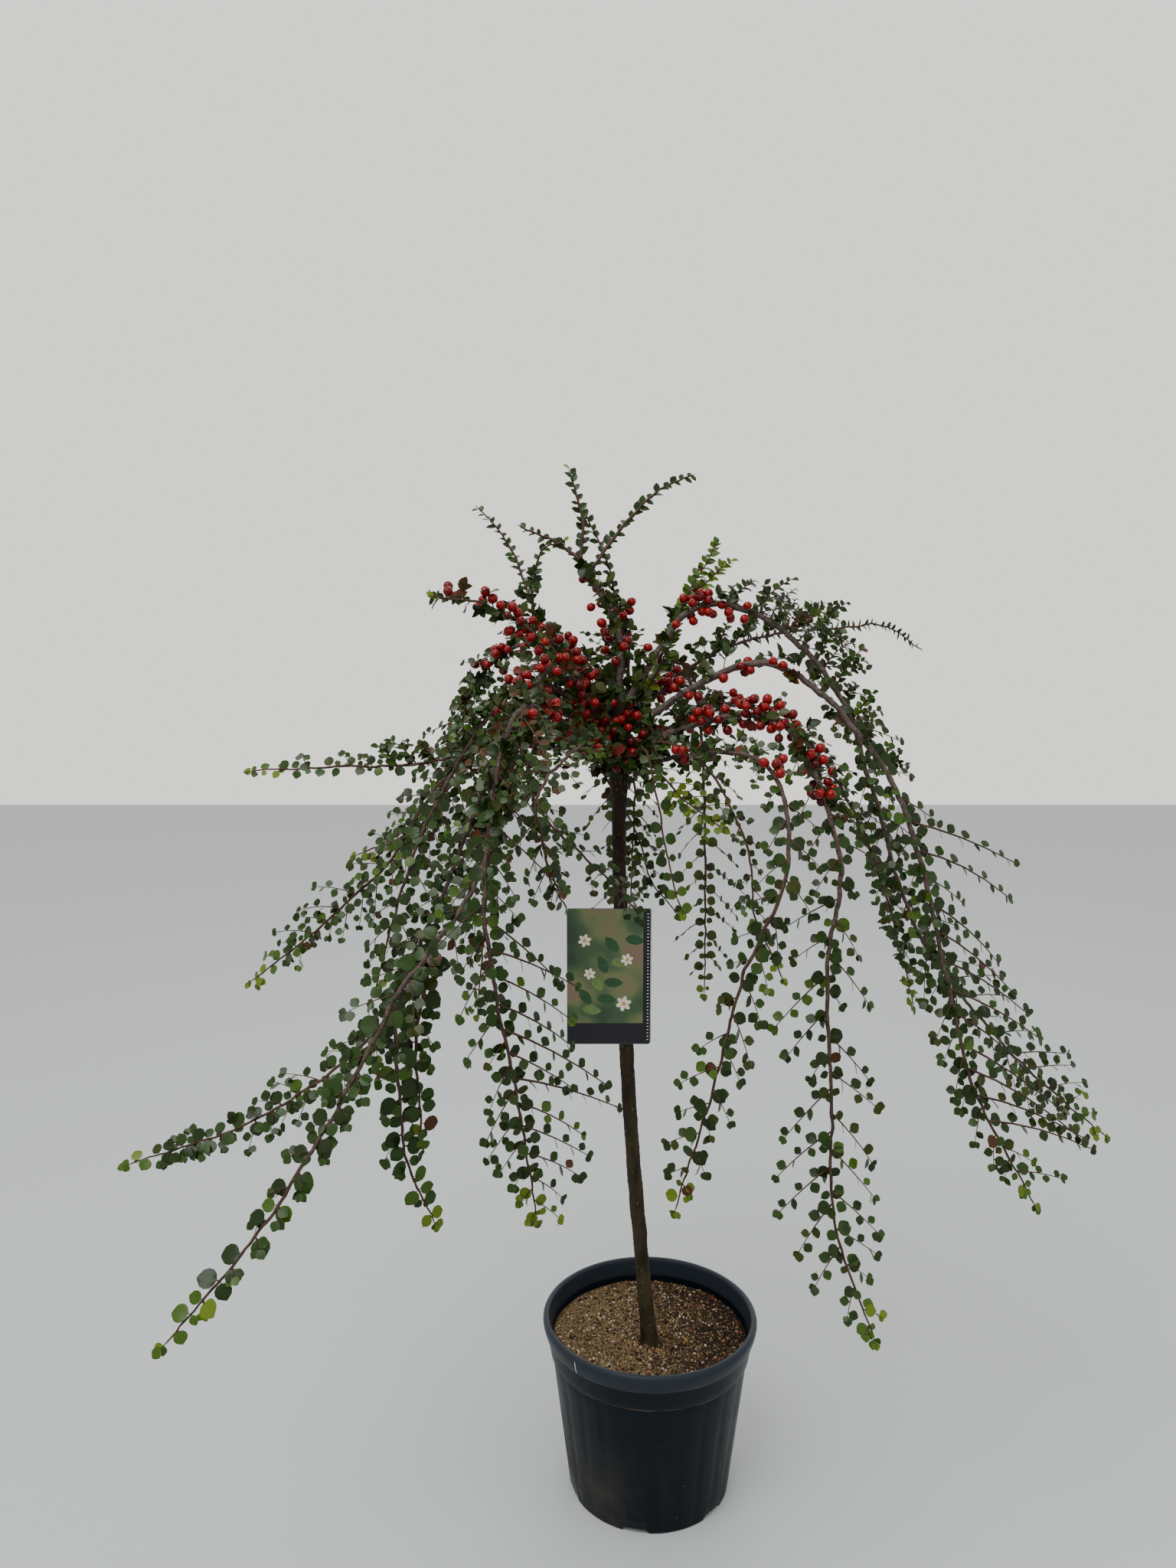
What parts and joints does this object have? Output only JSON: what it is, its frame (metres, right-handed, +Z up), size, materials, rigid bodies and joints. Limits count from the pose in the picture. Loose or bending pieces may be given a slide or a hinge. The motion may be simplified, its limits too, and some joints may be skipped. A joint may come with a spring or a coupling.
{
  "type": "potted weeping cotoneaster standard",
  "caption": "Weeping shrub grafted on a clear stem, with arching boughs of small round leaves and red berries, in a round pot of soil.",
  "frame": {"origin": "centre of the pot's flat underside, which stands on the floor", "axes": "+Z up, -Y towards the viewer of the picture, +X to that viewer's right"},
  "size_m": [1.262, 0.7114, 1.3346],
  "materials": {
    "bark": "dull",
    "bough_bark": "dull",
    "foliage": "satin",
    "pot_plastic": "matte",
    "soil_mix": "matte",
    "card_print": "gloss",
    "strap_plastic": "matte"
  },
  "bodies": {
    "root": {"bough_back_left": "bough_bark", "bough_back_middle": "bough_bark", "bough_back_right": "bough_bark", "bough_back_wide": "bough_bark", "bough_leader": "bough_bark", "bough_left_berry": "bough_bark", "bough_left_drop": "bough_bark", "bough_left_far": "bough_bark", "bough_left_fish": "bough_bark", "bough_left_high": "bough_bark", "bough_left_inner": "bough_bark", "bough_left_level": "bough_bark", "bough_left_long_arch": "bough_bark", "bough_left_long_rise": "bough_bark", "bough_left_mid": "bough_bark", "bough_left_up": "bough_bark", "bough_right_berry": "bough_bark", "bough_right_high_arch": "bough_bark", "bough_right_high_rise": "bough_bark", "bough_right_inner": "bough_bark", "bough_right_long_arch": "bough_bark", "bough_right_long_rise": "bough_bark", "bough_right_top": "bough_bark", "bough_top_bent": "bough_bark", "label_card": "card_print", "label_strap": "strap_plastic", "mass_back_left": "foliage", "mass_back_low": "foliage", "mass_back_middle": "foliage", "mass_back_right": "foliage", "mass_back_wide": "foliage", "mass_behind": "foliage", "mass_front_cross": "foliage", "mass_leader": "foliage", "mass_left_berry": "foliage", "mass_left_drop": "foliage", "mass_left_far": "foliage", "mass_left_fish": "foliage", "mass_left_high": "foliage", "mass_left_inner": "foliage", "mass_left_level": "foliage", "mass_left_long": "foliage", "mass_left_mid": "foliage", "mass_left_up": "foliage", "mass_right_berry": "foliage", "mass_right_drop": "foliage", "mass_right_high": "foliage", "mass_right_inner": "foliage", "mass_right_long": "foliage", "mass_right_low": "foliage", "mass_right_thin": "foliage", "mass_right_top": "foliage", "mass_small_up": "foliage", "mass_top_bent": "foliage", "pot": "pot_plastic", "soil": "soil_mix", "trunk": "bark"}
  },
  "joints": []
}
